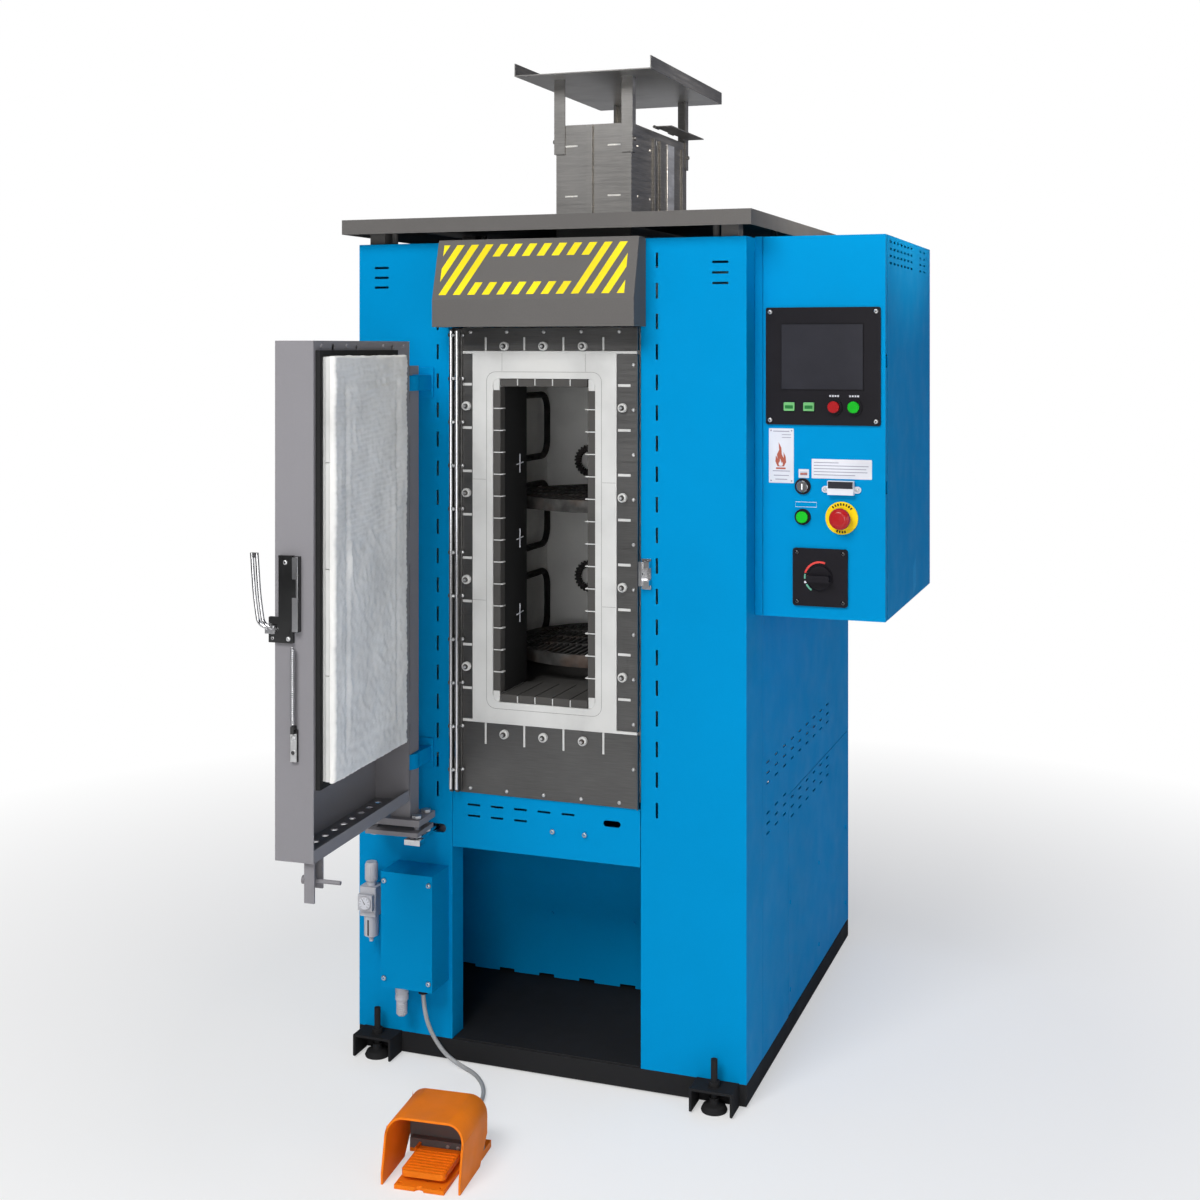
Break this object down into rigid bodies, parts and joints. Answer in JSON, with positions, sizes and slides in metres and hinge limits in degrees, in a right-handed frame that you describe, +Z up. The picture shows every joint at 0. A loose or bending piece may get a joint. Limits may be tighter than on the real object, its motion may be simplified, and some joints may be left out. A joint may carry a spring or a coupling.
{
  "type": "rotary burnout furnace",
  "caption": "Electric burnout furnace with a side-hinged fibre-lined door, rotary shelves, control box, flue with rain cap and a foot switch for the door.",
  "frame": {"origin": "on the floor under the middle of the whole object, door open and foot switch in place", "axes": "+Z up, -Y to the front where the mouth opens, +X to the control box"},
  "size_m": [1.037, 1.4714, 1.937],
  "materials": {
    "blue_paint": "sky-blue powder coat with a fine orange-peel texture",
    "black_paint": "black powder coat",
    "dark_paint": "dark grey satin paint",
    "light_plastic": "light grey moulded plastic",
    "grey_paint": "grey powder coat",
    "stainless": "brushed stainless sheet",
    "dull_stainless": "dull rolled stainless sheet",
    "chrome": "bright plating",
    "black_chrome": "dark bright plating",
    "pale_green_plastic": "pale green lens",
    "zinc": "zinc plated",
    "fibre": "white ceramic fibre board",
    "fibre_block": "white ceramic fibre blanket and board",
    "refractory": "dark fired refractory",
    "iron": "heat-scaled heat-resisting casting",
    "element": "sheathed element, black scale",
    "aluminium": "cast aluminium",
    "black_plastic": "black moulded plastic",
    "grey_plastic": "grey moulded plastic",
    "orange_plastic": "orange moulded plastic",
    "red_plastic": "red moulded plastic",
    "green_plastic": "green moulded plastic",
    "yellow_plastic": "yellow moulded plastic",
    "white_plastic": "white moulded plastic and print",
    "screen": "dark touch panel glass",
    "gasket": "black woven seal",
    "cable": "grey cable sheath"
  },
  "bodies": {
    "root": {"base_frame": "black_paint", "levelling_feet": "black_paint", "left_column": "blue_paint", "right_column": "blue_paint", "cabinet_panels": "blue_paint", "crossbar": "blue_paint", "bay_liner": "blue_paint", "front_plates": "stainless", "front_fasteners": "chrome", "ceramic_washers": "fibre", "ceramic_frame": "fibre", "refractory": "refractory", "chamber_insulation": "fibre_block", "heating_elements": "element", "drive_motor": "aluminium", "hood": "dark_paint", "heat_shield": "dark_paint", "flue_duct": "dull_stainless", "rain_cap": "dull_stainless", "control_box": "blue_paint", "switchgear": "grey_plastic", "junction_box": "blue_paint", "cable_gland": "black_plastic", "air_connector": "zinc", "air_regulator": "light_plastic", "hinge_brackets": "blue_paint", "door_cylinder": "aluminium", "keeper": "chrome", "foot_guard": "orange_plastic", "foot_base": "orange_plastic", "foot_case": "grey_plastic", "foot_cable": "cable"},
    "door": {"door_shell": "grey_paint", "door_gasket": "gasket", "door_block": "fibre_block", "door_tray": "grey_paint", "hinge_post": "grey_paint", "latch_base": "black_chrome", "latch_spring": "chrome"},
    "latch": {"latch_lever": "chrome"},
    "opener": {"opener_rod": "chrome"},
    "turntable": {"turntable_shaft": "iron", "lower_shelf": "iron", "upper_shelf": "iron"},
    "flap": {"draught_flap": "dull_stainless"},
    "control_panel": {"control_door": "blue_paint", "panel_plates": "black_plastic", "touch_screen": "screen", "stop_ring": "yellow_plastic", "panel_meter": "white_plastic"},
    "stop_push": {"stop_button": "red_plastic"},
    "start_push": {"start_button": "green_plastic"},
    "lamp_push": {"lamp_button": "green_plastic"},
    "left_key_push": {"left_key": "pale_green_plastic"},
    "right_key_push": {"right_key": "pale_green_plastic"},
    "emergency_push": {"emergency_stop": "red_plastic"},
    "key_turn": {"key_switch": "chrome"},
    "switch_turn": {"main_switch": "black_plastic"},
    "pedal": {"foot_pedal": "orange_plastic"},
    "regulator_turn": {"regulator_knob": "light_plastic"}
  },
  "joints": [
    {"name": "door_swing", "type": "hinge", "parent": "root", "child": "door", "pos_m": [-0.3685, -0.29533, 0.9], "axis": [0, 0, 1], "range_deg": [0, 87]},
    {"name": "latch_turn", "type": "hinge", "parent": "door", "child": "latch", "pos_m": [-0.39091, -0.72759, 0.9], "axis": [0.0523, -0.9986, 0], "range_deg": [0, 75]},
    {"name": "opener_slide", "type": "slide", "parent": "root", "child": "opener", "axis": [0, 1, 0], "range_m": [0, 0.05527]},
    {"name": "turntable_spin", "type": "hinge", "parent": "root", "child": "turntable", "pos_m": [-0.1105, 0.13567, 0.7], "axis": [0, 0, 1], "continuous": true},
    {"name": "flap_drop", "type": "hinge", "parent": "root", "child": "flap", "pos_m": [-0.0205, 0.29067, 1.823], "axis": [0, 1, 0], "range_deg": [0, 82]},
    {"name": "control_door_swing", "type": "hinge", "parent": "root", "child": "control_panel", "pos_m": [0.5115, -0.16333, 1.221], "axis": [0, 0, 1], "range_deg": [0, 110]},
    {"name": "stop_press", "type": "slide", "parent": "control_panel", "child": "stop_push", "axis": [0, 1, 0], "range_m": [0, 0.003], "stiffness_N_per_m": 400, "springref_m": -0.001},
    {"name": "start_press", "type": "slide", "parent": "control_panel", "child": "start_push", "axis": [0, 1, 0], "range_m": [0, 0.003], "stiffness_N_per_m": 400, "springref_m": -0.001},
    {"name": "lamp_press", "type": "slide", "parent": "control_panel", "child": "lamp_push", "axis": [0, 1, 0], "range_m": [0, 0.002], "stiffness_N_per_m": 400, "springref_m": -0.001},
    {"name": "left_key_press", "type": "slide", "parent": "control_panel", "child": "left_key_push", "axis": [0, 1, 0], "range_m": [0, 0.002], "stiffness_N_per_m": 300, "springref_m": -0.001},
    {"name": "right_key_press", "type": "slide", "parent": "control_panel", "child": "right_key_push", "axis": [0, 1, 0], "range_m": [0, 0.002], "stiffness_N_per_m": 300, "springref_m": -0.001},
    {"name": "emergency_press", "type": "slide", "parent": "control_panel", "child": "emergency_push", "axis": [0, 1, 0], "range_m": [0, 0.006]},
    {"name": "key_turning", "type": "hinge", "parent": "control_panel", "child": "key_turn", "pos_m": [0.3695, -0.17233, 1.114], "axis": [0, 1, 0], "range_deg": [0, 60]},
    {"name": "main_switch_turning", "type": "hinge", "parent": "control_panel", "child": "switch_turn", "pos_m": [0.4015, -0.17233, 0.951], "axis": [0, 1, 0], "range_deg": [0, 90]},
    {"name": "pedal_press", "type": "hinge", "parent": "root", "child": "pedal", "pos_m": [-0.15228, -0.59069, 0.0175], "axis": [0.9962, 0.0872, 0], "range_deg": [0, 4.5], "stiffness_Nm_per_rad": 4, "springref_deg": -5.73},
    {"name": "regulator_turning", "type": "hinge", "parent": "root", "child": "regulator_turn", "pos_m": [-0.4535, -0.26733, 0.34], "axis": [0, 0, 1], "range_deg": [-180, 180]}
  ],
  "couplings": [
    {"joint": "opener_slide", "follows": "door_swing", "m_per_rad": 0.036266}
  ]
}
